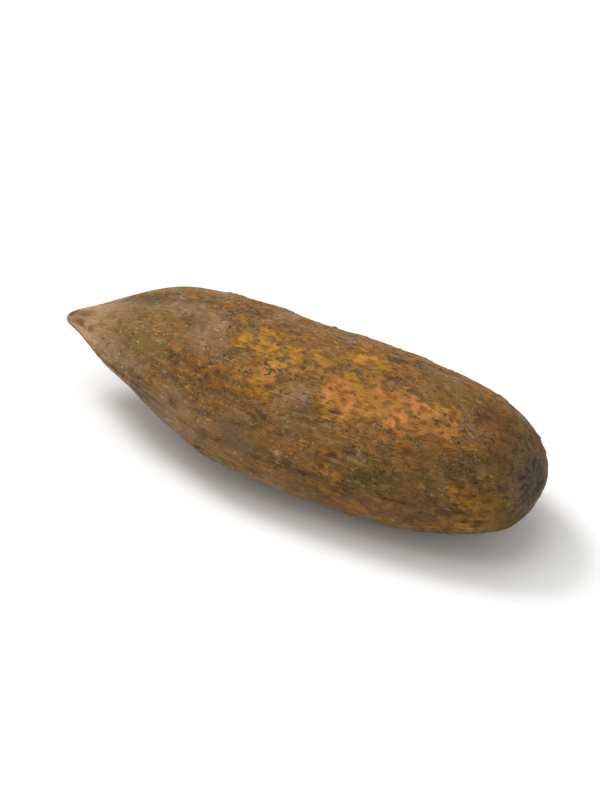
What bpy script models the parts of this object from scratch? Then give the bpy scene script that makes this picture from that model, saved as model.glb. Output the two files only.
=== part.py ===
"""Chilgoza pine nut, whole in its shell, lying on the flatter of its two faces.

Metres, +Z up. The long axis runs along X, with the beak at -X and the rounded base at +X.
The origin is the middle of the bottom of the nut's box, on the surface it lies on.

The shell grew as one piece, so it is one closed solid. A sphere with its poles on X is
reshaped ring by ring: a girth curve gives its taper, a section curve its flatter underside,
and keels, lumps and a scar are raised from that skin by formula.
"""

import math

import bmesh
import bpy
from mathutils import Matrix, Vector, noise

# Driving sizes of the finished nut
LENGTH = 0.0205
WIDTH = 0.0069
THICKNESS = 0.0061
FLAT_DEPTH = 0.00006
RIM_MERGE = 0.00001

# Rings from beak to base, and points in each ring
RINGS = 66
SEGMENTS = 76
BEAK_CROWDING = 1.25

# Girth curve, along t from 0 at the beak's tip to 1 at the base
WIDEST_AT = 0.60
SHOULDER_BOW = 3.6
SHOULDER_TAPER = 1.38
BASE_SQUARENESS = 2.8
BASE_ROUNDNESS = 0.43
NIB_GIRTH = 0.20
NIB_LENGTH = 0.10
NIB_BLEND = 3

# Section: the beak is a wedge, and the whole nut is faintly three-sided with its flat side down
WEDGE_THINNER = 0.22
WEDGE_BROADER = 0.12
WEDGE_LENGTH = 0.20
THREE_SIDED = 0.022
SEAM_DROP = 0.06

# Centre line: the beak stands up and to the +Y side, its nib dips, and the base swings to -Y
BEAK_RISE = 0.00042
BEAK_SIDE = 0.00055
BEAK_RISE_FROM = 0.12
BEAK_RISE_TO = 0.50
NIB_DIP = 0.00022
NIB_SIDE_DIP = 0.00020
NIB_DIP_LENGTH = 0.20
BASE_SWING = 0.00032
BASE_SWING_FROM = 0.60
NOSE_DOWN = math.radians(0.9)

# Keels along the two edges where the halves of the shell meet
KEEL_AT_BEAK = 0.00034
KEEL_ON_BODY = 0.00005
KEEL_PEAK_AT = 0.11
KEEL_FADE = 0.10
KEEL_WIDTH = math.radians(13)
KEEL_TIP_FADE = 4

# Broad lumps
LUMP_HEIGHT = 0.00013
LUMP_SIZE = 0.0045
LUMP_FADE = 1.6

# Scar at the base, where the seed sat on its scale
SCAR_RADIUS = 0.00095
SCAR_DEPTH = 0.00009
SCAR_RIM = 0.00004
SCAR_OFF_AXIS = Vector((-0.00035, 0.00045))

SHELL_COLOUR = (0.185, 0.115, 0.055, 1.0)
SHELL_ROUGHNESS = 0.72


def girth(t):
    """Half the nut's width at t, as a share of its widest: a blunt nib, a shoulder and a round base."""
    if t > WIDEST_AT:
        return (1 - ((t - WIDEST_AT) / (1 - WIDEST_AT)) ** BASE_SQUARENESS) ** BASE_ROUNDNESS
    shoulder = (1 - (1 - t / WIDEST_AT) ** SHOULDER_BOW) ** SHOULDER_TAPER
    nib = NIB_GIRTH * math.sqrt(1 - max(0.0, 1 - t / NIB_LENGTH) ** 2) * (1 - t / WIDEST_AT)
    return (shoulder**NIB_BLEND + nib**NIB_BLEND) ** (1 / NIB_BLEND)


def bell(distance, width):
    """A smooth hump: 1 at no distance, and nearly 0 at twice the width."""
    return math.exp(-((distance / width) ** 2))


def smooth_fall(t, start, end):
    """1 up to the start, 0 from the end on, and a smooth slope between them."""
    share = max(0.0, min(1.0, (t - start) / (end - start)))
    return 1 - share * share * (3 - 2 * share)


def section(t, angle):
    """Point of the plain body's ring at t, before keels and relief, as (y, z)."""
    share = girth(t) * (1 + THREE_SIDED * math.cos(3 * (angle - math.pi / 2)))
    wedge = bell(t, WEDGE_LENGTH)
    y = WIDTH / 2 * share * (1 + WEDGE_BROADER * wedge) * math.cos(angle)
    height = math.sin(angle) - SEAM_DROP * math.cos(angle) ** 2
    z = THICKNESS / 2 * share * (1 - WEDGE_THINNER * wedge) * height
    return y, z


def centre_line(t):
    """Where the middle of the ring at t lies, as (y, z)."""
    beak = smooth_fall(t, BEAK_RISE_FROM, BEAK_RISE_TO)
    nib = max(0.0, 1 - t / NIB_DIP_LENGTH) ** 2
    base = max(0.0, (t - BASE_SWING_FROM) / (1 - BASE_SWING_FROM)) ** 2
    side = BEAK_SIDE * beak - NIB_SIDE_DIP * nib - BASE_SWING * base
    rise = BEAK_RISE * beak - NIB_DIP * nib
    return side, rise


def keel(t, angle):
    """Height of the seam ridge: a sharp keel on each side of the beak, a faint line on the body."""
    height = KEEL_ON_BODY + (KEEL_AT_BEAK - KEEL_ON_BODY) * bell(t - KEEL_PEAK_AT, KEEL_FADE)
    off_seam = math.asin(abs(math.sin(angle)))
    return height * bell(off_seam, KEEL_WIDTH) * min(1.0, KEEL_TIP_FADE * girth(t))


def lumps(point, t):
    """Height of the broad lumps, fading out at both ends."""
    return LUMP_HEIGHT * noise.noise(point / LUMP_SIZE) * min(1.0, LUMP_FADE * girth(t))


def scar(y, z):
    """How far the base is pushed in or out along X at (y, z), for the round scar and its rim."""
    distance = (Vector((y, z)) - SCAR_OFF_AXIS).length
    rim = SCAR_RIM * bell(distance - SCAR_RADIUS, SCAR_RADIUS / 3)
    return rim - SCAR_DEPTH * bell(distance, SCAR_RADIUS)


def skin_point(share_of_rings, angle):
    """A point of the shell, from the ring's place between beak (0) and base (1) and its angle."""
    t = math.sin(math.pi / 2 * share_of_rings**BEAK_CROWDING)
    y, z = section(t, angle)
    plain = Vector((LENGTH * (t - 0.5), y, z))
    outward = Vector((0, y, z)).normalized()
    raised = plain + outward * (keel(t, angle) + lumps(plain, t))
    if t > WIDEST_AT:
        raised.x += scar(raised.y, raised.z)
    side, rise = centre_line(t)
    return raised + Vector((0, side, rise))


def reshape(mesh):
    """Turns the unit sphere into the nut's skin, lying a little nose-down."""
    for vertex in mesh.verts:
        ring = math.acos(max(-1.0, min(1.0, -vertex.co.z))) / math.pi
        angle = math.atan2(vertex.co.y, vertex.co.x)
        vertex.co = skin_point(ring, angle)
    bmesh.ops.rotate(mesh, cent=(0, 0, 0), matrix=Matrix.Rotation(-NOSE_DOWN, 3, "Y"), verts=mesh.verts)


def fit_to_size(mesh):
    """Scales the skin to the driving sizes and sets it down, its lowest line just under Z = 0."""
    low = Vector(min(v.co[axis] for v in mesh.verts) for axis in range(3))
    high = Vector(max(v.co[axis] for v in mesh.verts) for axis in range(3))
    wanted = Vector((LENGTH, WIDTH, THICKNESS + FLAT_DEPTH))
    middle = (low + high) / 2
    for vertex in mesh.verts:
        for axis in range(3):
            vertex.co[axis] = (vertex.co[axis] - middle[axis]) * wanted[axis] / (high[axis] - low[axis])
        vertex.co.z += wanted.z / 2 - FLAT_DEPTH


def cut_rest_spot(mesh):
    """Slices off what is under Z = 0, which leaves the small flat spot that the nut lies on."""
    everything = mesh.verts[:] + mesh.edges[:] + mesh.faces[:]
    bmesh.ops.bisect_plane(mesh, geom=everything, plane_co=(0, 0, 0), plane_no=(0, 0, 1), clear_inner=True)
    rim = {vertex for edge in mesh.edges if edge.is_boundary for vertex in edge.verts}
    bmesh.ops.remove_doubles(mesh, verts=list(rim), dist=RIM_MERGE)
    bmesh.ops.edgeloop_fill(mesh, edges=[edge for edge in mesh.edges if edge.is_boundary])
    bmesh.ops.recalc_face_normals(mesh, faces=mesh.faces)


def shell_material():
    material = bpy.data.materials.new("nutshell")
    material.use_nodes = True
    shader = material.node_tree.nodes["Principled BSDF"]
    shader.inputs["Base Color"].default_value = SHELL_COLOUR
    shader.inputs["Roughness"].default_value = SHELL_ROUGHNESS
    shader.inputs["Metallic"].default_value = 0.0
    material.diffuse_color = SHELL_COLOUR
    return material


def make_nut(collection):
    mesh = bmesh.new()
    bmesh.ops.create_uvsphere(mesh, u_segments=SEGMENTS, v_segments=RINGS, radius=1.0)
    reshape(mesh)
    fit_to_size(mesh)
    cut_rest_spot(mesh)
    data = bpy.data.meshes.new("nut")
    mesh.to_mesh(data)
    mesh.free()
    data.shade_smooth()
    data.set_sharp_from_angle(angle=math.radians(40))
    data.materials.append(shell_material())
    nut = bpy.data.objects.new("nut", data)
    collection.objects.link(nut)


def main():
    for leftover in list(bpy.data.objects):
        bpy.data.objects.remove(leftover, do_unlink=True)
    collection = bpy.data.collections.new("chilgoza_pine_nut")
    bpy.context.scene.collection.children.link(collection)
    make_nut(collection)


main()
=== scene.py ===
"""Looks of the chilgoza pine nut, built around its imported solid.

Metres, +Z up, in the solid's own frame: the beak is at -X, the rounded base at +X, and the nut
lies on Z = 0. One fine skin replaces the solid. Its form comes from the same curves as the
solid's, fitted to the solid's box. The golden film that flakes off the shell, and the shell's
dents, wrinkles, pits, seam and scar, are raised on it as real relief.

Along the nut, t runs from 0 at the beak's tip to 1 at the base. Round it, the angle is 0 at the
seam on the +Y side and 90 degrees on top.
"""

import math
from types import SimpleNamespace

import bmesh
import bpy
import numpy as np
from mathutils import Matrix, Vector, noise


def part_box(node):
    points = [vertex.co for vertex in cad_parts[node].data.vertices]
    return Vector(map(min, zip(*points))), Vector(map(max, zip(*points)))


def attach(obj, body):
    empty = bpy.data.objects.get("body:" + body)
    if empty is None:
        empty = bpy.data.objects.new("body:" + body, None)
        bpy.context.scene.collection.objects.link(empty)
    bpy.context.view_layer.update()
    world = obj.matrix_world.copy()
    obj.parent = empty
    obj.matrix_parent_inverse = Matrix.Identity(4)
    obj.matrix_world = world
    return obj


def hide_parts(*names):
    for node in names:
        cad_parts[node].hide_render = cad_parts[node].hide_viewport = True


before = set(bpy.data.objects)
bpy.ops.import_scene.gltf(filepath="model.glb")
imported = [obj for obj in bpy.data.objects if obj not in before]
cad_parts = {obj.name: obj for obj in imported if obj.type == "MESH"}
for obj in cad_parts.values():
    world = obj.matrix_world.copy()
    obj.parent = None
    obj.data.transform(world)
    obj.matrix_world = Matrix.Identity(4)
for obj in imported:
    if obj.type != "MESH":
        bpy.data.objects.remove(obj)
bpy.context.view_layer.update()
nut_low, nut_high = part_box("nut")

# Form of the nut, the same named values as the solid's
LENGTH = 0.0205
WIDTH = 0.0069
THICKNESS = 0.0061
FLAT_DEPTH = 0.00006
WIDEST_AT = 0.60
SHOULDER_BOW = 3.6
SHOULDER_TAPER = 1.38
BASE_SQUARENESS = 2.8
BASE_ROUNDNESS = 0.43
NIB_GIRTH = 0.20
NIB_LENGTH = 0.10
NIB_BLEND = 3
WEDGE_THINNER = 0.22
WEDGE_BROADER = 0.12
WEDGE_LENGTH = 0.20
THREE_SIDED = 0.022
SEAM_DROP = 0.06
BEAK_RISE = 0.00042
BEAK_SIDE = 0.00055
BEAK_RISE_FROM = 0.12
BEAK_RISE_TO = 0.50
NIB_DIP = 0.00022
NIB_SIDE_DIP = 0.00020
NIB_DIP_LENGTH = 0.20
BASE_SWING = 0.00032
BASE_SWING_FROM = 0.60
NOSE_DOWN = math.radians(0.9)
KEEL_AT_BEAK = 0.00034
KEEL_ON_BODY = 0.00005
KEEL_PEAK_AT = 0.11
KEEL_FADE = 0.10
KEEL_WIDTH = math.radians(13)
KEEL_TIP_FADE = 4
LUMP_HEIGHT = 0.00013
LUMP_SIZE = 0.0045
LUMP_FADE = 1.6
SCAR_RADIUS = 0.00095
SCAR_DEPTH = 0.00009
SCAR_RIM = 0.00004
SCAR_OFF_AXIS = (-0.00035, 0.00045)

# Fineness of the skin
RINGS = 330
SEGMENTS = 300
OUTLINE_STEPS = 4000
MERGE_DISTANCE = 0.00001
TINY = 1e-9

# Units that the colours are drawn in
MM_PER_METRE = 1000
UM_PER_METRE = 1000000

# How far each step of a noise's seed moves it
SEED_SHIFT = (7.31, -3.17, 5.93)

# Relief of the bare shell. A size of three numbers is along the nut, then twice across it
DENT_HEIGHT = 0.000060
DENT_SIZE = 0.0023
RIDGE_HEIGHT = 0.00013
RIDGE_ANGLE = math.radians(128)
RIDGE_WIDTH = math.radians(24)
RIDGE_MIDDLE = 0.58
RIDGE_REACH = 0.34
WRINKLE_DEPTH = 0.000022
WRINKLE_SIZE = (0.0032, 0.00050, 0.00050)
WRINKLE_SHARPNESS = 4
CREASE_HEIGHT = 0.000040
CREASES = 7
CREASE_WANDER = 2.5
CREASE_WANDER_LENGTH = 0.0030
CREASE_REACH = 0.13
TIP_FADE = 3

# Relief of the golden film. Where it is gone, only a share of the grain and pits is left
FILM_HEIGHT = 0.000026
FILM_LIP_HEIGHT = 0.000016
GRAIN_HEIGHT = 0.000016
GRAIN_SIZE = (0.0009, 0.00030, 0.00030)
BARE_GRAIN = 0.5
PIT_DEPTH = 0.000030
PIT_SPACING = 0.00070
PIT_STRETCH = 1.5
PIT_SIZE = 0.40
BARE_PITS = 0.3

# Relief of the seam, and of the keels beside the beak
SEAM_GROOVE_DEPTH = 0.000026
SEAM_GROOVE_WIDTH = 0.00011
SEAM_BREAK_SIZE = 0.0018
SEAM_BROKEN_BELOW = -0.4
SEAM_WHOLE_ABOVE = 0.3
SEAM_WANDER = 0.00022
SEAM_WANDER_LENGTH = 0.0035
KEEL_NICK_DEPTH = 0.000070
KEEL_NICK_SIZE = 0.0007
KEEL_NICK_REACH = 0.0004
KEEL_NICK_SPREAD = 1.5

# Relief of the scar. Where its cracks run, and what is far from it, is given in its radii
SCAR_GRIT_HEIGHT = 0.000030
SCAR_GRIT_SIZE = 0.00035
SCAR_NUB_HEIGHT = 0.000045
SCAR_NUB_RADIUS = 0.00016
SCAR_CRACK_DEPTH = 0.000035
SCAR_CRACKS = 11
SCAR_CRACK_THINNESS = 0.5
SCAR_CRACK_WANDER = 4
SCAR_CRACK_WANDER_LENGTH = 0.0006
SCAR_CRACKS_START = 0.15
SCAR_CRACKS_FULL = 0.45
SCAR_CRACKS_MIDDLE = 0.7
SCAR_CRACKS_REACH = 0.5
FAR_FROM_SCAR = 10

# How much of the film is left: above 0 it covers the shell, below 0 it has flaked off
FILM_LEFT = -0.16
FILM_EDGE = 0.06
FILM_SIZE = (0.0026, 0.0017, 0.0017)
FILM_RAGGEDNESS = 0.36
FLAKE_SIZE = (0.00070, 0.00045, 0.00045)
FLAKE_RAGGEDNESS = 0.34
# More golden film on the upper side: partly the nut's own pattern, partly painted light that makes the lit
# top warmer and brighter
FILM_AND_LIGHT_ON_TOP = 0.12
TOP_FROM_HEIGHT = 0.1
TOP_FROM = 0.15
TOP_TO = 0.4
FILM_ON_SPOTS = 0.55
FILM_OFF_SPOTS = 0.30
FILM_OFF_BEAK = 0.45
BARE_BEAK_LENGTH = 0.10

# Spots that differ: the place from beak (0) to base (1), the angle round the nut, the half length
SPOT_STRETCH = 1.3
SPOTS = {
    "ochre": (
        (0.49, 110, 0.0010), (0.80, 107, 0.0007), (0.94, 166, 0.0008), (0.64, 91, 0.0006),
        (0.90, 197, 0.0010), (0.47, 96, 0.0005), (0.41, 106, 0.0004),
        (0.30, 20, 0.0010), (0.62, 340, 0.0012), (0.40, 262, 0.0014),
    ),
    "rust": (
        (0.75, 115, 0.0011), (0.64, 124, 0.0008), (0.47, 124, 0.0006), (0.66, 167, 0.0008),
        (0.84, 116, 0.0006), (0.44, 10, 0.0007), (0.54, 352, 0.0008), (0.75, 300, 0.0013),
    ),
    "olive": (
        (0.72, 168, 0.0008), (0.82, 83, 0.0009), (0.58, 145, 0.0006), (0.23, 137, 0.0009),
        (0.52, 320, 0.0012), (0.82, 230, 0.0011),
    ),
    "mauve": (
        (0.34, 107, 0.0007), (0.20, 166, 0.0006), (0.32, 176, 0.0010), (0.25, 96, 0.0005),
        (0.45, 172, 0.0007), (0.56, 130, 0.0005), (0.14, 166, 0.0006), (0.87, 113, 0.0004),
        (0.50, 215, 0.0012), (0.20, 10, 0.0010), (0.58, 45, 0.0010),
    ),
    "stained": (
        (0.66, 167, 0.0010), (0.72, 168, 0.0008), (0.88, 155, 0.0015), (0.91, 125, 0.0010),
        (0.59, 140, 0.0007), (0.91, 84, 0.0008), (0.55, 158, 0.0005), (0.31, 137, 0.0006),
        (0.39, 138, 0.0006), (0.45, 139, 0.0005),
        (0.45, 300, 0.0012), (0.68, 15, 0.0011), (0.78, 262, 0.0012),
    ),
    "speckled": (
        (0.49, 142, 0.0012), (0.70, 60, 0.0011), (0.35, 320, 0.0013),
    ),
}

# Colours of the nut: red, green and blue as the eye sees them, 0 to 255
SHELL_GREY_BROWN = (119, 89, 46)
SHELL_CHESTNUT = (134, 87, 36)
SHELL_UMBER = (77, 55, 26)
SHELL_WARM = (132, 88, 40)
SHELL_OLIVE = (106, 84, 26)
SHELL_MAUVE = (133, 101, 70)
BLOOM_GREY = (149, 124, 88)
FILM_THIN = (128, 91, 40)
FILM_OCHRE = (154, 110, 36)
FILM_RUST = (152, 94, 38)
FILM_BROWN = (110, 72, 30)
OCHRE_SPOT = (174, 124, 40)
RUST_SPOT = (188, 122, 66)
STRAW = (198, 158, 102)
PIT_BROWN = (52, 36, 20)
# Dark brown for painted shade in the hollows and beside the film's edge, and for the seam's groove and the
# scar's cracks
SHADE_AND_CREVICE_BROWN = (66, 46, 25)
BEAK_TAN = (180, 142, 104)
BASE_DARK = (76, 66, 48)
SCAR_DARK = (84, 76, 61)
SCAR_RIM_TAN = (128, 106, 74)
SCAR_FIBRE_TAN = (126, 104, 74)

# Finish of the nut
SPECULAR = 0.15
BUMP_DISTANCE = 0.000065
FIBRES_IN_BUMP = 0.9
GRIT_IN_BUMP = 0.7
FILM_IN_BUMP = 0.6

# Noise in the finish. Sizes are in millimetres, and the stretch draws the noise out along the nut
FIBRES = dict(size_mm=0.085, stretch=8, detail=4, seed=5.5)
GRIT = dict(size_mm=0.07, stretch=1.6, detail=4, seed=-2.2)

# Patches of noise: low where the noise is under the start value, high where it is over the end value
CHESTNUT_PATCHES = dict(size_mm=2.0, stretch=1.3, detail=4, seed=6.6, start=0.30, end=0.50)
UMBER_PATCHES = dict(size_mm=0.9, stretch=1.5, detail=6, start=0.44, end=0.62, high=0.85)
WARM_PATCHES = dict(size_mm=0.6, stretch=1.5, detail=6, seed=12.1, start=0.48, end=0.60, high=0.7)
OLIVE_PATCHES = dict(size_mm=1.5, stretch=1.3, detail=4, seed=7.3, start=0.50, end=0.64, high=0.6)
MAUVE_PATCHES = dict(size_mm=1.7, stretch=1.3, detail=4, seed=-4.1, start=0.50, end=0.64, high=0.6)
BLOOM_PATCHES = dict(size_mm=0.20, stretch=1.6, detail=5, seed=4.7, start=0.52, end=0.62, high=0.4)
RAGGED_ON_SHELL = dict(size_mm=0.45, stretch=1.5, detail=6, seed=17.3, start=0.38, end=0.56, low=0.35)
RUST_PATCHES = dict(size_mm=1.6, stretch=1.3, detail=4, seed=-8.7, start=0.46, end=0.60, high=0.9)
FILM_MARBLING = dict(size_mm=0.22, stretch=1.6, detail=6, seed=2.9, start=0.46, end=0.60, high=0.75)
RAGGED_ON_FILM = dict(size_mm=0.50, stretch=1.5, detail=6, seed=19.9, start=0.40, end=0.58, low=0.25)
TATTERS = dict(size_mm=0.22, stretch=1.5, detail=6, seed=1.7, start=0.25, end=0.75, low=-0.34, high=0.34)
CREST_PATCHES = dict(size_mm=0.6, detail=4, seed=0.9, start=0.38, end=0.56, high=0.8)
TIP_PATCHES = dict(size_mm=0.5, stretch=1.8, detail=5, seed=3.7, start=0.40, end=0.52, high=0.85)
GROOVE_PATCHES = dict(size_mm=1.5, detail=3, seed=5.9, start=0.40, end=0.55, high=0.5)
STRAW_FLECKS = dict(size_mm=0.14, stretch=1.8, detail=2, seed=3.3, start=0.62, end=0.67)
STRAW_CLUSTERS = dict(size_mm=1.6, stretch=1.2, detail=2, seed=8.1, start=0.42, end=0.58, high=0.45)
DARK_FLECKS = dict(size_mm=0.14, stretch=1.6, detail=2, seed=-6.1, start=0.60, end=0.65, high=0.6)
DARK_CLUSTERS = dict(size_mm=1.4, stretch=1.2, detail=2, seed=-9.4, start=0.42, end=0.60)
SCRATCHES = dict(size_mm=0.05, stretch=40, detail=1, seed=15.2, start=0.70, end=0.76, high=0.35)
SCAR_FRAYING = dict(size_mm=0.25, detail=5, seed=2.4, start=0.2, end=0.8, low=-0.35, high=0.35)
SCAR_FIBRES = dict(size_mm=0.13, detail=5, seed=21.7, start=0.45, end=0.60, high=0.55)
STAIN_PATCHES = dict(size_mm=0.8, stretch=1.5, detail=5, seed=11.3, start=0.35, end=0.60)
UNEVEN_FINISH = dict(size_mm=0.3, stretch=2, detail=3, seed=9.1, start=0.3, end=0.7, low=-0.08, high=0.08)

# Slopes along the nut: where each starts and ends, then its low and high if not 0 and 1
CHESTNUT_ALONG = (0.30, 0.65)
MAUVE_ALONG = (0.40, 0.70, 1.0, 0.4)
BLOOM_ALONG = (0.26, 0.12, 0.0, 0.30)
CREST_ALONG = (0.40, 0.12)
TIP_ALONG = (0.15, 0.04)
BASE_ALONG = (0.90, 0.985, 0.0, 0.65)
# Darker towards the base: partly the shell's own colour, partly painted shade
TONE_AND_SHADE_ALONG = (0.60, 0.97, 1.0, 0.86)

# The same by distance from the seam and from the scar's middle, in millimetres
CREST_FROM_SEAM = (0.40, 0.12)
GROOVE_FROM_SEAM = (0.11, 0.03)
SCAR_FROM_MIDDLE = (1.00, 0.60, 0.0, 0.85)
SCAR_RIM_BEGINS = (0.75, 0.95, 0.0, 0.5)
SCAR_RIM_ENDS = (1.25, 1.00)

# The same by how much film is left
FILM_COVERS = (-0.04, 0.04)
FILM_THICKENS = (-0.05, 0.35)
TATTERS_ON_THICKNESS = 0.5
# Painted highlight on the film's torn edge, which is also frayed paler, and painted shadow on the shell just
# outside it
EDGE_HIGHLIGHT_BEGINS = (0.00, 0.03, 0.0, 0.25)
EDGE_HIGHLIGHT_ENDS = (0.10, 0.04)
EDGE_SHADOW_BEGINS = (-0.10, -0.03, 0.0, 0.45)
EDGE_SHADOW_ENDS = (0.00, -0.02)
ROUGHNESS_BY_FILM = (-0.10, 0.10, 0.50, 0.72)

# The same by a spot's share, by the relief's height in micrometres, and by the noise of the fibres
SPOT_ON_SHELL = (0.0, 0.8)
SPOT_ON_FILM = (0.1, 0.7)
BRIGHTNESS_BY_STAIN = (0.0, 1.0, 1.0, 0.62)
# Painted shade, with some dirt, deepening in the hollows of the relief
SHADE_BY_RELIEF_DEPTH = (10, -60, 0.0, 0.5)
BRIGHTNESS_BY_FIBRES = (0.30, 0.70, 0.90, 1.10)
PIT_STRENGTH = 0.7
SCAR_CRACK_STRENGTH = 0.8

# Sockets of a Mix node that mixes colours
MIX_SHARE = 0
MIX_UNDER = 6
MIX_OVER = 7
MIX_RESULT = 2

# Floor: a disc that sweeps up into a round wall
FLOOR_RADIUS = 0.26
SWEEP_RADIUS = 0.45
SWEEP_POINTS = 33
WALL_TOP = 0.60
FLOOR_STEPS = 96
FLOOR_COLOUR = (0.87, 0.87, 0.865, 1)
FLOOR_ROUGHNESS = 0.9
FLOOR_SPECULAR = 0.1

# Light: two round softboxes that face the nut, in metres and watts, and an even white surround
KEY_PLACE = (-0.22, 0.05, 0.33)
KEY_SIZE = 0.14
KEY_WATTS = 0.78
OVERHEAD_PLACE = (-0.08, -0.04, 0.55)
OVERHEAD_SIZE = 0.50
OVERHEAD_WATTS = 1.2
SURROUND_COLOUR = (1, 1, 1, 1)
SURROUND_STRENGTH = 0.62

# Camera: lens and sensor in millimetres, and the size at which the nut stands in the frame
LENS = 300
SENSOR = 36
FRAME_HEIGHT_PX = 800
PIXELS_PER_METRE = 26500
CAMERA_AZIMUTH = math.radians(28)
CAMERA_ELEVATION = math.radians(40)
CLIP_START = 0.005
CLIP_END = 5


def bell(distance, width):
    """A smooth hump: 1 at no distance, and nearly 0 at twice the width."""
    return np.exp(-((distance / width) ** 2))


def smooth_rise(value, start, end):
    """0 up to the start, 1 from the end on, and a smooth slope between them."""
    share = np.clip((value - start) / (end - start), 0, 1)
    return share * share * (3 - 2 * share)


def perlin(points, size, seed):
    """Smooth noise at each point, about -1 to 1. The size of its features is one number or three."""
    shift = seed * np.array(SEED_SHIFT)
    return np.array([noise.noise(point) for point in (points / np.asarray(size) + shift).tolist()])


def fractal(points, size, seed, octaves):
    """Perlin noise with finer and fainter copies of itself laid over it."""
    copies = [perlin(points, np.asarray(size) / 2**step, seed + step) / 2**step for step in range(octaves)]
    return sum(copies)


def girth(t):
    """Half the nut's width at t, as a share of its widest: a blunt nib, a shoulder and a round base."""
    front = np.minimum(t, WIDEST_AT) / WIDEST_AT
    back = np.clip((t - WIDEST_AT) / (1 - WIDEST_AT), 0, 1)
    shoulder = (1 - (1 - front) ** SHOULDER_BOW) ** SHOULDER_TAPER
    nib = NIB_GIRTH * np.sqrt(1 - np.clip(1 - t / NIB_LENGTH, 0, 1) ** 2) * (1 - front)
    base = (1 - back**BASE_SQUARENESS) ** BASE_ROUNDNESS
    return np.where(t > WIDEST_AT, base, (shoulder**NIB_BLEND + nib**NIB_BLEND) ** (1 / NIB_BLEND))


def even_rings(shares):
    """The t of each ring, spaced evenly along the nut's outline from beak (0) to base (1)."""
    t = np.sin(np.linspace(0, math.pi / 2, OUTLINE_STEPS)) ** 2
    outline = np.stack([LENGTH * t, WIDTH / 2 * girth(t)])
    walked = np.concatenate([[0], np.cumsum(np.hypot(*np.diff(outline)))])
    return np.interp(shares, walked / walked[-1], t)


def plain_form(t, angle):
    """The nut's skin without keels and lumps, as points before the centre line is bent."""
    share = girth(t) * (1 + THREE_SIDED * np.cos(3 * (angle - math.pi / 2)))
    wedge = bell(t, WEDGE_LENGTH)
    y = WIDTH / 2 * share * (1 + WEDGE_BROADER * wedge) * np.cos(angle)
    height = np.sin(angle) - SEAM_DROP * np.cos(angle) ** 2
    z = THICKNESS / 2 * share * (1 - WEDGE_THINNER * wedge) * height
    return np.stack([LENGTH * (t - 0.5), y, z], axis=1)


def keel(t, angle):
    """Height of the seam ridge on each side of the nut."""
    height = KEEL_ON_BODY + (KEEL_AT_BEAK - KEEL_ON_BODY) * bell(t - KEEL_PEAK_AT, KEEL_FADE)
    off_seam = np.arcsin(np.abs(np.sin(angle)))
    return height * bell(off_seam, KEEL_WIDTH) * np.minimum(1, KEEL_TIP_FADE * girth(t))


def scar_distance(points, t):
    """Distance of points of the unbent form from the scar's middle, and far away on the beak's half."""
    distance = np.hypot(points[:, 1] - SCAR_OFF_AXIS[0], points[:, 2] - SCAR_OFF_AXIS[1])
    return np.where(t > WIDEST_AT, distance, FAR_FROM_SCAR * SCAR_RADIUS)


def bent(points, t):
    """The points moved with the nut's gently curved centre line, and turned nose-down."""
    beak = 1 - smooth_rise(t, BEAK_RISE_FROM, BEAK_RISE_TO)
    nib = np.clip(1 - t / NIB_DIP_LENGTH, 0, 1) ** 2
    base = np.clip((t - BASE_SWING_FROM) / (1 - BASE_SWING_FROM), 0, 1) ** 2
    moved = points.copy()
    moved[:, 1] += BEAK_SIDE * beak - NIB_SIDE_DIP * nib - BASE_SWING * base
    moved[:, 2] += BEAK_RISE * beak - NIB_DIP * nib
    return moved @ np.array(Matrix.Rotation(-NOSE_DOWN, 3, "Y")).T


def main_form(t, angle):
    """The solid's own form at each ring place and angle: plain body, keels, lumps and scar."""
    plain = plain_form(t, angle)
    outward = plain * (0, 1, 1)
    outward /= np.maximum(np.linalg.norm(outward, axis=1), TINY)[:, None]
    lumps = LUMP_HEIGHT * perlin(plain, LUMP_SIZE, seed=0) * np.minimum(1, LUMP_FADE * girth(t))
    raised = plain + outward * (keel(t, angle) + lumps)[:, None]
    distance = scar_distance(raised, t)
    rim = SCAR_RIM * bell(distance - SCAR_RADIUS, SCAR_RADIUS / 3)
    raised[:, 0] += rim - SCAR_DEPTH * bell(distance, SCAR_RADIUS)
    return bent(raised, t)


def fitted(points, low, high):
    """The points scaled to the solid's box, with the flat spot's slice still hanging below it."""
    floor = Vector((low.x, low.y, low.z - FLAT_DEPTH))
    size = np.array(high - floor)
    own_low = points.min(axis=0)
    own_size = points.max(axis=0) - own_low
    return (points - own_low) / own_size * size + np.array(floor)


def unrolled(t, angle):
    """Places on a straight tube, so that what is drawn on it runs along the nut."""
    radius = WIDTH / 2
    return np.stack([LENGTH * t, radius * np.cos(angle), radius * np.sin(angle)], axis=1)


def tapered(t, angle):
    """Places on a tube as thick as the nut is there, so that what is drawn on it keeps its size."""
    ring = girth(t)[:, None]
    return unrolled(t, angle) * np.hstack([np.ones_like(ring), ring, ring])


def tip_fade(t):
    """1 on the body, falling to 0 at both tips."""
    return np.minimum(1, TIP_FADE * girth(t))


def seam_distance(t, angle):
    """Distance round the shell to the nearer of its two seams, which wander a little."""
    line = unrolled(t, np.zeros_like(angle))
    wander = SEAM_WANDER * perlin(line, SEAM_WANDER_LENGTH, seed=81) / (WIDTH / 2)
    return np.arcsin(np.abs(np.sin(angle + wander))) * WIDTH / 2 * girth(t)


def spots(t, angle, places):
    """1 in the middle of each spot, fading to 0 around it."""
    share = np.zeros_like(t)
    for spot_t, spot_angle, half_length in places:
        turn = np.abs(angle - math.radians(spot_angle)) % (2 * math.pi)
        across = np.minimum(turn, 2 * math.pi - turn) * WIDTH / 2 * girth(t)
        along = (t - spot_t) * LENGTH
        share = np.maximum(share, bell(np.hypot(along / SPOT_STRETCH, across), half_length))
    return share


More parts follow.
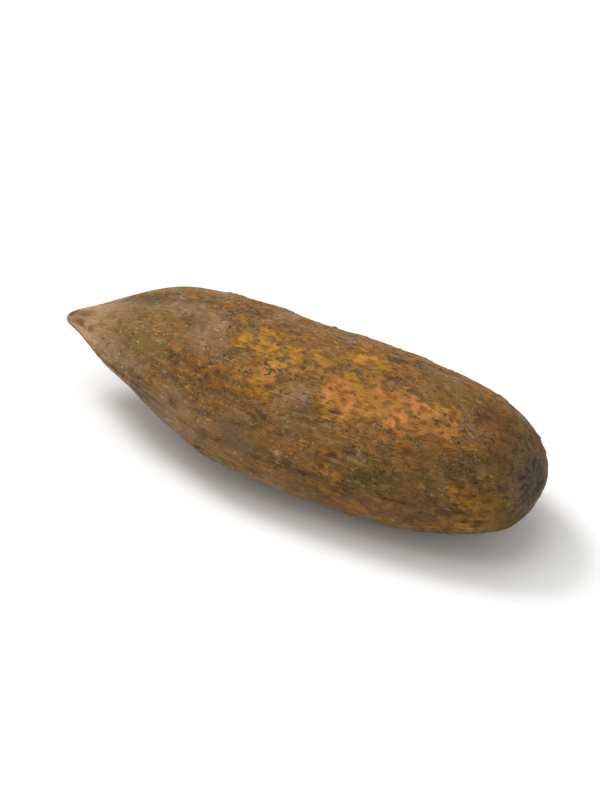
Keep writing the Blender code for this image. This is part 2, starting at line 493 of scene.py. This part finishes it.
def film_left(t, angle):
    """How much golden film is left: most on some spots and on top, where it is partly painted light on the
    lit upper side, and least on the beak.
    """
    place = tapered(t, angle)
    patches = FILM_RAGGEDNESS * fractal(place, FILM_SIZE, seed=31, octaves=3)
    ragged = patches + FLAKE_RAGGEDNESS * fractal(place, FLAKE_SIZE, seed=37, octaves=3)
    # Partly painted light: the upper side gets more of the brighter golden film
    lit_top = smooth_rise(np.sin(angle), TOP_FROM_HEIGHT, 1.0) * smooth_rise(t, TOP_FROM, TOP_TO)
    gained = FILM_AND_LIGHT_ON_TOP * lit_top + FILM_ON_SPOTS * spots(t, angle, SPOTS["ochre"] + SPOTS["rust"])
    off_spots = FILM_OFF_SPOTS * spots(t, angle, SPOTS["olive"] + SPOTS["mauve"])
    lost = off_spots + FILM_OFF_BEAK * bell(t, BARE_BEAK_LENGTH)
    return FILM_LEFT + ragged + gained - lost


def pits(t, angle):
    """1 at the bottom of each small pit, 0 between them."""
    place = tapered(t, angle) / (PIT_STRETCH * PIT_SPACING, PIT_SPACING, PIT_SPACING)
    nearest = np.array([noise.voronoi(point)[0][0] for point in place.tolist()])
    return smooth_rise(PIT_SIZE - nearest, 0, PIT_SIZE)


def scar_cracks(points, t):
    """1 along the fine cracks that run out from the middle of the scar, 0 between them."""
    turn = np.arctan2(points[:, 2] - SCAR_OFF_AXIS[1], points[:, 1] - SCAR_OFF_AXIS[0])
    wander = SCAR_CRACK_WANDER * perlin(points, SCAR_CRACK_WANDER_LENGTH, seed=91)
    line = smooth_rise(np.cos(SCAR_CRACKS * turn + wander), SCAR_CRACK_THINNESS, 1.0)
    from_middle = scar_distance(points, t) / SCAR_RADIUS
    started = smooth_rise(from_middle, SCAR_CRACKS_START, SCAR_CRACKS_FULL)
    return line * started * bell(from_middle - SCAR_CRACKS_MIDDLE, SCAR_CRACKS_REACH)


def shell_relief(points, tube, t, angle):
    """Dents, a low ridge along the upper side, lengthwise wrinkles, and creases round the beak."""
    dents = DENT_HEIGHT * fractal(points, DENT_SIZE, seed=1, octaves=2)
    ridge = RIDGE_HEIGHT * bell(angle - RIDGE_ANGLE, RIDGE_WIDTH) * bell(t - RIDGE_MIDDLE, RIDGE_REACH)
    wrinkles = np.clip(1 - WRINKLE_SHARPNESS * np.abs(perlin(tube, WRINKLE_SIZE, seed=5)), 0, 1)
    wander = CREASE_WANDER * perlin(tube, CREASE_WANDER_LENGTH, seed=11)
    creases = CREASE_HEIGHT * np.cos(CREASES * angle + wander) * bell(t - CREASE_REACH, CREASE_REACH)
    return dents + ridge + creases - WRINKLE_DEPTH * wrinkles


def film_relief(tube, film, pit):
    """The film's step and raised lip, and the grain and pits that it shows more than the bare shell."""
    covered = smooth_rise(film, -FILM_EDGE, FILM_EDGE)
    step = FILM_HEIGHT * covered + FILM_LIP_HEIGHT * bell(film - FILM_EDGE, FILM_EDGE)
    grain = GRAIN_HEIGHT * fractal(tube, GRAIN_SIZE, seed=21, octaves=2)
    grain *= BARE_GRAIN + (1 - BARE_GRAIN) * covered
    pitting = PIT_DEPTH * pit * (BARE_PITS + (1 - BARE_PITS) * covered)
    return step + grain - pitting


def seam_relief(points, t, angle):
    """The seam's groove, broken here and there, and the nicks in the keels beside the beak."""
    off_seam = seam_distance(t, angle)
    whole = smooth_rise(perlin(points, SEAM_BREAK_SIZE, seed=71), SEAM_BROKEN_BELOW, SEAM_WHOLE_ABOVE)
    groove = SEAM_GROOVE_DEPTH * bell(off_seam, SEAM_GROOVE_WIDTH) * whole
    near_keel = bell(off_seam, KEEL_NICK_REACH) * bell(t - KEEL_PEAK_AT, KEEL_NICK_SPREAD * KEEL_FADE)
    nicks = KEEL_NICK_DEPTH * np.abs(perlin(points, KEEL_NICK_SIZE, seed=51)) * near_keel
    return -groove - nicks


def scar_relief(points, t, angle):
    """Grit, fine cracks and a small nub in the scar."""
    plain = plain_form(t, angle)
    to_middle = scar_distance(plain, t)
    grit = SCAR_GRIT_HEIGHT * fractal(points, SCAR_GRIT_SIZE, seed=61, octaves=2)
    nub = SCAR_NUB_HEIGHT * bell(to_middle, SCAR_NUB_RADIUS)
    return grit * bell(to_middle, SCAR_RADIUS) + nub - SCAR_CRACK_DEPTH * scar_cracks(plain, t)


def fine_relief(points, t, angle, film, pit):
    """Height of everything finer than the lumps. Only the scar's relief runs on to the tip."""
    tube = unrolled(t, angle)
    body = shell_relief(points, tube, t, angle) + film_relief(tube, film, pit)
    body = body + seam_relief(points, t, angle)
    return body * tip_fade(t) + scar_relief(points, t, angle)


def point_values(t, angle, film, pit, relief):
    """What the colours are drawn by, point for point."""
    plain = plain_form(t, angle)
    values = {
        "tube_mm": MM_PER_METRE * unrolled(t, angle),
        "along": t,
        "film": film,
        "pit": pit,
        "relief_um": UM_PER_METRE * relief,
        "seam_mm": MM_PER_METRE * seam_distance(t, angle),
        "scar_mm": MM_PER_METRE * scar_distance(plain, t),
        "scar_crack": scar_cracks(plain, t),
    }
    for name, places in SPOTS.items():
        values[name] = spots(t, angle, places)
    return values


def wrapped_grid():
    """A unit sphere with its poles on Z, wrapped from a grid so that its UV map is the unrolled shell."""
    mesh = bmesh.new()
    mesh.loops.layers.uv.new("OFBake")
    bmesh.ops.create_grid(mesh, x_segments=SEGMENTS, y_segments=RINGS, size=1, calc_uvs=True)
    for vertex in mesh.verts:
        angle = math.pi * vertex.co.x
        polar = math.pi / 2 * vertex.co.y
        ring = math.cos(polar)
        vertex.co = (ring * math.cos(angle), ring * math.sin(angle), math.sin(polar))
    bmesh.ops.remove_doubles(mesh, verts=mesh.verts, dist=MERGE_DISTANCE)
    return mesh


def write_points(mesh, points):
    """Moves the mesh's vertices to the points."""
    for vertex, point in zip(mesh.verts, points):
        vertex.co = point
    mesh.normal_update()


def write_attribute(data, name, values):
    """Keeps a number, or a vector, with each point of the mesh."""
    is_vector = values.ndim == 2
    kept = data.attributes.new(name, "FLOAT_VECTOR" if is_vector else "FLOAT", "POINT")
    kept.data.foreach_set("vector" if is_vector else "value", values.astype(np.float32).ravel())


def add_object(name, mesh):
    """Puts the finished mesh in the scene as a smooth-shaded object."""
    data = bpy.data.meshes.new(name)
    mesh.to_mesh(data)
    mesh.free()
    data.shade_smooth()
    thing = bpy.data.objects.new(name, data)
    bpy.context.scene.collection.objects.link(thing)
    return thing


def make_nut(low, high):
    """The nut's skin: the solid's form in its box, with the fine relief raised along its normals."""
    mesh = wrapped_grid()
    sphere = np.array([vertex.co for vertex in mesh.verts])
    t = even_rings(np.arccos(np.clip(-sphere[:, 2], -1, 1)) / math.pi)
    angle = np.arctan2(sphere[:, 1], sphere[:, 0])
    points = fitted(main_form(t, angle), low, high)
    write_points(mesh, points)
    bmesh.ops.recalc_face_normals(mesh, faces=mesh.faces)
    normals = np.array([vertex.normal for vertex in mesh.verts])

    film = film_left(t, angle)
    pit = pits(t, angle)
    relief = fine_relief(points, t, angle, film, pit)
    points = points + normals * relief[:, None]
    points[:, 2] = np.maximum(points[:, 2], low.z)
    write_points(mesh, points)

    skin = add_object("nut_skin", mesh)
    for name, values in point_values(t, angle, film, pit, relief).items():
        write_attribute(skin.data, name, values)
    return skin


def srgb(colour):
    """A colour given as the eye sees it, 0 to 255, as the linear light that a shader takes."""
    shares = [value / 255 for value in colour]
    return tuple(((s + 0.055) / 1.055) ** 2.4 if s > 0.04045 else s / 12.92 for s in shares) + (1.0,)


def fill(tree, socket, value):
    """Links the socket to another node's output, or sets it to a plain value."""
    if isinstance(value, bpy.types.NodeSocket):
        tree.links.new(value, socket)
    else:
        socket.default_value = value


def attribute(tree, name, output="Fac"):
    """A value kept with the skin's points."""
    node = tree.nodes.new("ShaderNodeAttribute")
    node.attribute_name = name
    return node.outputs[output]


def ramp(tree, value, start, end, low=0.0, high=1.0):
    """Low before the start value, high beyond the end value, and a smooth slope between them."""
    node = tree.nodes.new("ShaderNodeMapRange")
    node.interpolation_type = "SMOOTHSTEP"
    ranges = {"Value": value, "From Min": start, "From Max": end, "To Min": low, "To Max": high}
    for name, given in ranges.items():
        fill(tree, node.inputs[name], given)
    return node.outputs["Result"]


def calc(tree, operation, first, second):
    """The sum, the product or the larger of two values."""
    node = tree.nodes.new("ShaderNodeMath")
    node.operation = operation
    fill(tree, node.inputs[0], first)
    fill(tree, node.inputs[1], second)
    return node.outputs["Value"]


def product(tree, first, second):
    """Two values multiplied."""
    return calc(tree, "MULTIPLY", first, second)


def painted(tree, under, over, share):
    """One colour laid over another, as far as the share says."""
    node = tree.nodes.new("ShaderNodeMix")
    node.data_type = "RGBA"
    fill(tree, node.inputs[MIX_SHARE], share)
    fill(tree, node.inputs[MIX_UNDER], under)
    fill(tree, node.inputs[MIX_OVER], over)
    return node.outputs[MIX_RESULT]


def glazed(tree, under, colour, share):
    """A plain colour laid over what is there, as far as the share says."""
    return painted(tree, under, srgb(colour), share)


def scaled(tree, vector, factor):
    """A place made larger, or a colour made brighter or darker, by the factor."""
    node = tree.nodes.new("ShaderNodeVectorMath")
    node.operation = "SCALE"
    fill(tree, node.inputs[0], vector)
    fill(tree, node.inputs["Scale"], factor)
    return node.outputs["Vector"]


def noise_at(tree, place, size_mm, stretch=1.0, detail=3.0, seed=0.0):
    """Cloudy noise about 0.5, with features of the given size, drawn out along the nut by the stretch."""
    mapping = tree.nodes.new("ShaderNodeMapping")
    mapping.inputs["Location"].default_value = (seed, seed, seed)
    mapping.inputs["Scale"].default_value = (1 / (size_mm * stretch), 1 / size_mm, 1 / size_mm)
    fill(tree, mapping.inputs["Vector"], place)
    node = tree.nodes.new("ShaderNodeTexNoise")
    node.inputs["Scale"].default_value = 1.0
    node.inputs["Detail"].default_value = detail
    fill(tree, node.inputs["Vector"], mapping.outputs["Vector"])
    return node.outputs["Fac"]


def clouds(tree, place, start, end, low=0.0, high=1.0, **features):
    """Patches of noise: low where it is under the start value, high where it is over the end value."""
    return ramp(tree, noise_at(tree, place, **features), start, end, low, high)


def surface_values(tree):
    """Places on the nut in millimetres, and how much film is left once its edge is tattered."""
    at = SimpleNamespace()
    at.place = scaled(tree, tree.nodes.new("ShaderNodeTexCoord").outputs["Object"], MM_PER_METRE)
    at.tube = attribute(tree, "tube_mm", "Vector")
    at.along = attribute(tree, "along")
    at.seam = attribute(tree, "seam_mm")
    at.scar = attribute(tree, "scar_mm")
    at.fibres = noise_at(tree, at.tube, **FIBRES)
    whole_film = attribute(tree, "film")
    tatters = clouds(tree, at.place, **TATTERS)
    at.film = calc(tree, "ADD", whole_film, tatters)
    at.covered = ramp(tree, at.film, *FILM_COVERS)
    thickness = calc(tree, "ADD", whole_film, product(tree, tatters, TATTERS_ON_THICKNESS))
    at.thick = ramp(tree, thickness, *FILM_THICKENS)
    return at


def ragged_spots(tree, name, slope, ragged):
    """The spots of one kind, with ragged edges."""
    return product(tree, ramp(tree, attribute(tree, name), *slope), ragged)


def shell_colour(tree, at):
    """The smooth woody shell: grey-brown, redder towards the base, clouded with umber, olive and mauve."""
    redder = product(tree, clouds(tree, at.place, **CHESTNUT_PATCHES), ramp(tree, at.along, *CHESTNUT_ALONG))
    colour = glazed(tree, srgb(SHELL_GREY_BROWN), SHELL_CHESTNUT, redder)
    colour = glazed(tree, colour, SHELL_UMBER, clouds(tree, at.place, **UMBER_PATCHES))
    colour = glazed(tree, colour, SHELL_WARM, clouds(tree, at.place, **WARM_PATCHES))
    ragged = clouds(tree, at.place, **RAGGED_ON_SHELL)
    olive_spots = ragged_spots(tree, "olive", SPOT_ON_SHELL, ragged)
    olive = calc(tree, "MAXIMUM", olive_spots, clouds(tree, at.place, **OLIVE_PATCHES))
    colour = glazed(tree, colour, SHELL_OLIVE, olive)
    mauve_spots = ragged_spots(tree, "mauve", SPOT_ON_SHELL, ragged)
    mauve = product(tree, clouds(tree, at.place, **MAUVE_PATCHES), ramp(tree, at.along, *MAUVE_ALONG))
    colour = glazed(tree, colour, SHELL_MAUVE, calc(tree, "MAXIMUM", mauve_spots, mauve))
    beak_bloom = ramp(tree, at.along, *BLOOM_ALONG)
    bloom = calc(tree, "MAXIMUM", clouds(tree, at.place, **BLOOM_PATCHES), beak_bloom)
    return glazed(tree, colour, BLOOM_GREY, bloom)


def film_colour(tree, at):
    """The film: brown where it is thin, and ochre or rust where it is thick, marbled, with dark pits."""
    colour = glazed(tree, srgb(FILM_OCHRE), FILM_RUST, clouds(tree, at.place, **RUST_PATCHES))
    ragged = clouds(tree, at.place, **RAGGED_ON_FILM)
    colour = glazed(tree, colour, OCHRE_SPOT, ragged_spots(tree, "ochre", SPOT_ON_FILM, ragged))
    colour = glazed(tree, colour, RUST_SPOT, ragged_spots(tree, "rust", SPOT_ON_FILM, ragged))
    colour = painted(tree, srgb(FILM_THIN), colour, at.thick)
    colour = glazed(tree, colour, FILM_BROWN, clouds(tree, at.place, **FILM_MARBLING))
    return glazed(tree, colour, PIT_BROWN, product(tree, attribute(tree, "pit"), PIT_STRENGTH))


def with_beak_and_base(tree, at, colour):
    """Tan along the keels and on the tip of the beak, and dark round the base."""
    near_crest = product(tree, ramp(tree, at.seam, *CREST_FROM_SEAM), ramp(tree, at.along, *CREST_ALONG))
    crest = product(tree, near_crest, clouds(tree, at.place, **CREST_PATCHES))
    colour = glazed(tree, colour, BEAK_TAN, crest)
    tip = product(tree, ramp(tree, at.along, *TIP_ALONG), clouds(tree, at.place, **TIP_PATCHES))
    colour = glazed(tree, colour, BEAK_TAN, tip)
    return glazed(tree, colour, BASE_DARK, ramp(tree, at.along, *BASE_ALONG))


def with_torn_edge_highlight_and_shadow(tree, at, colour):
    """The film's torn edge: frayed paler and with a painted highlight on the film, and a painted shadow on
    the shell beside it.
    """
    # Painted highlight along the film's torn edge
    pale = product(tree, ramp(tree, at.film, *EDGE_HIGHLIGHT_BEGINS), ramp(tree, at.film, *EDGE_HIGHLIGHT_ENDS))
    colour = glazed(tree, colour, STRAW, pale)
    # Painted shadow on the shell just outside the film's edge
    dark = product(tree, ramp(tree, at.film, *EDGE_SHADOW_BEGINS), ramp(tree, at.film, *EDGE_SHADOW_ENDS))
    return glazed(tree, colour, SHADE_AND_CREVICE_BROWN, dark)


def with_hollow_shade_and_seam(tree, at, colour):
    """Painted shade, with some dirt, in the hollows of the relief, and darker along parts of the seam's
    groove.
    """
    # Painted shade and dirt, darker the deeper the hollow
    hollow_shade = ramp(tree, attribute(tree, "relief_um"), *SHADE_BY_RELIEF_DEPTH)
    colour = glazed(tree, colour, SHADE_AND_CREVICE_BROWN, hollow_shade)
    groove = product(tree, ramp(tree, at.seam, *GROOVE_FROM_SEAM), clouds(tree, at.place, **GROOVE_PATCHES))
    return glazed(tree, colour, SHADE_AND_CREVICE_BROWN, groove)


def with_flecks(tree, at, colour):
    """Clusters of straw and dark flecks, and a few hair-fine pale scratches along the nut."""
    straw = product(tree, clouds(tree, at.place, **STRAW_FLECKS), clouds(tree, at.place, **STRAW_CLUSTERS))
    colour = glazed(tree, colour, STRAW, straw)
    clusters = calc(tree, "MAXIMUM", clouds(tree, at.place, **DARK_CLUSTERS), attribute(tree, "speckled"))
    dark = product(tree, clouds(tree, at.place, **DARK_FLECKS), clusters)
    colour = glazed(tree, colour, PIT_BROWN, dark)
    return glazed(tree, colour, STRAW, clouds(tree, at.tube, **SCRATCHES))


def with_scar(tree, at, colour):
    """The scar: dark and cracked, with tan fibres, inside a frayed tan rim."""
    frayed = calc(tree, "ADD", at.scar, clouds(tree, at.place, **SCAR_FRAYING))
    rim = product(tree, ramp(tree, frayed, *SCAR_RIM_BEGINS), ramp(tree, frayed, *SCAR_RIM_ENDS))
    colour = glazed(tree, colour, SCAR_RIM_TAN, rim)
    scar = glazed(tree, srgb(SCAR_DARK), SCAR_FIBRE_TAN, clouds(tree, at.place, **SCAR_FIBRES))
    cracks = product(tree, attribute(tree, "scar_crack"), SCAR_CRACK_STRENGTH)
    scar = glazed(tree, scar, SHADE_AND_CREVICE_BROWN, cracks)
    return painted(tree, colour, scar, ramp(tree, frayed, *SCAR_FROM_MIDDLE))


def with_streaks_stains_and_base_shade(tree, at, colour):
    """Fine lengthwise streaks, darker stains, and a slow darkening towards the base that is partly the
    shell's own colour and partly painted shade.
    """
    colour = scaled(tree, colour, ramp(tree, at.fibres, *BRIGHTNESS_BY_FIBRES))
    stain = product(tree, attribute(tree, "stained"), clouds(tree, at.place, **STAIN_PATCHES))
    colour = scaled(tree, colour, ramp(tree, stain, *BRIGHTNESS_BY_STAIN))
    # Partly painted shade: the whole colour darkens towards the base
    return scaled(tree, colour, ramp(tree, at.along, *TONE_AND_SHADE_ALONG))


def nut_colour(tree, at):
    """Film over shell, then each finer layer laid over both."""
    colour = painted(tree, shell_colour(tree, at), film_colour(tree, at), at.covered)
    colour = with_beak_and_base(tree, at, colour)
    colour = with_torn_edge_highlight_and_shadow(tree, at, colour)
    colour = with_hollow_shade_and_seam(tree, at, colour)
    colour = with_flecks(tree, at, colour)
    colour = with_scar(tree, at, colour)
    return with_streaks_stains_and_base_shade(tree, at, colour)


def nut_roughness(tree, at):
    """Rougher on the film than on the bare shell, and slightly uneven."""
    uneven = clouds(tree, at.place, **UNEVEN_FINISH)
    return calc(tree, "ADD", uneven, ramp(tree, at.film, *ROUGHNESS_BY_FILM))


def nut_bump(tree, at):
    """What is too fine for the mesh: lengthwise fibres, grit, and the tatters of the film."""
    grit = product(tree, noise_at(tree, at.place, **GRIT), GRIT_IN_BUMP)
    height = calc(tree, "ADD", product(tree, at.fibres, FIBRES_IN_BUMP), grit)
    height = calc(tree, "ADD", height, product(tree, at.covered, FILM_IN_BUMP))
    bump = tree.nodes.new("ShaderNodeBump")
    bump.inputs["Strength"].default_value = 1.0
    bump.inputs["Distance"].default_value = BUMP_DISTANCE
    fill(tree, bump.inputs["Height"], height)
    return bump.outputs["Normal"]


def nut_material():
    """The shell's dry, matt surface."""
    material = bpy.data.materials.new("nutshell")
    material.use_nodes = True
    tree = material.node_tree
    at = surface_values(tree)
    shader = tree.nodes["Principled BSDF"]
    shader.inputs["Specular IOR Level"].default_value = SPECULAR
    fill(tree, shader.inputs["Base Color"], nut_colour(tree, at))
    fill(tree, shader.inputs["Roughness"], nut_roughness(tree, at))
    fill(tree, shader.inputs["Normal"], nut_bump(tree, at))
    return material


def floor_material():
    """Plain matt white."""
    material = bpy.data.materials.new("floor_white")
    material.use_nodes = True
    shader = material.node_tree.nodes["Principled BSDF"]
    shader.inputs["Base Color"].default_value = FLOOR_COLOUR
    shader.inputs["Roughness"].default_value = FLOOR_ROUGHNESS
    shader.inputs["Specular IOR Level"].default_value = FLOOR_SPECULAR
    return material


def make_floor():
    """A white floor that sweeps up into a round wall, so that no horizon shows from any side."""
    turns = np.linspace(0, math.pi / 2, SWEEP_POINTS)
    sweep = [(FLOOR_RADIUS + SWEEP_RADIUS * math.sin(a), SWEEP_RADIUS * (1 - math.cos(a))) for a in turns]
    profile = [(0.0, 0.0)] + sweep + [(FLOOR_RADIUS + SWEEP_RADIUS, WALL_TOP)]
    mesh = bmesh.new()
    verts = [mesh.verts.new((radius, 0, height)) for radius, height in profile]
    edges = [mesh.edges.new(pair) for pair in zip(verts, verts[1:])]
    bmesh.ops.spin(
        mesh,
        geom=verts + edges,
        cent=(0, 0, 0),
        axis=(0, 0, 1),
        angle=2 * math.pi,
        steps=FLOOR_STEPS,
        use_merge=True,
    )
    bmesh.ops.remove_doubles(mesh, verts=mesh.verts, dist=MERGE_DISTANCE)
    bmesh.ops.recalc_face_normals(mesh, faces=mesh.faces)
    floor = add_object("floor", mesh)
    floor.data.materials.append(floor_material())


def add_softbox(name, place, size, watts):
    """A round soft light that faces the nut."""
    light = bpy.data.lights.new(name, "AREA")
    light.shape = "DISK"
    light.size = size
    light.energy = watts
    softbox = bpy.data.objects.new(name, light)
    softbox.location = place
    softbox.rotation_euler = (-Vector(place)).to_track_quat("-Z", "Y").to_euler()
    bpy.context.scene.collection.objects.link(softbox)


def make_lights():
    """A key light, a large light overhead, and an even white surround."""
    add_softbox("key_light", KEY_PLACE, KEY_SIZE, KEY_WATTS)
    add_softbox("overhead_light", OVERHEAD_PLACE, OVERHEAD_SIZE, OVERHEAD_WATTS)
    world = bpy.data.worlds.new("studio")
    world.use_nodes = True
    world.node_tree.nodes["Background"].inputs["Color"].default_value = SURROUND_COLOUR
    world.node_tree.nodes["Background"].inputs["Strength"].default_value = SURROUND_STRENGTH
    bpy.context.scene.world = world
    bpy.context.scene.view_settings.view_transform = "Standard"


def make_camera(target):
    """A camera that looks down on the target from its +X, -Y side."""
    distance = LENS / SENSOR * FRAME_HEIGHT_PX / PIXELS_PER_METRE
    back = Vector((
        math.sin(CAMERA_AZIMUTH) * math.cos(CAMERA_ELEVATION),
        -math.cos(CAMERA_AZIMUTH) * math.cos(CAMERA_ELEVATION),
        math.sin(CAMERA_ELEVATION),
    ))
    lens = bpy.data.cameras.new("camera")
    lens.lens = LENS
    lens.clip_start = CLIP_START
    lens.clip_end = CLIP_END
    camera = bpy.data.objects.new("camera", lens)
    camera.location = target + back * distance
    camera.rotation_euler = back.to_track_quat("Z", "Y").to_euler()
    bpy.context.scene.collection.objects.link(camera)
    bpy.context.scene.camera = camera


make_camera((nut_low + nut_high) / 2)
make_lights()
make_floor()

nut = make_nut(nut_low, nut_high)
nut.data.materials.append(nut_material())
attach(nut, "root")
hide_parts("nut")
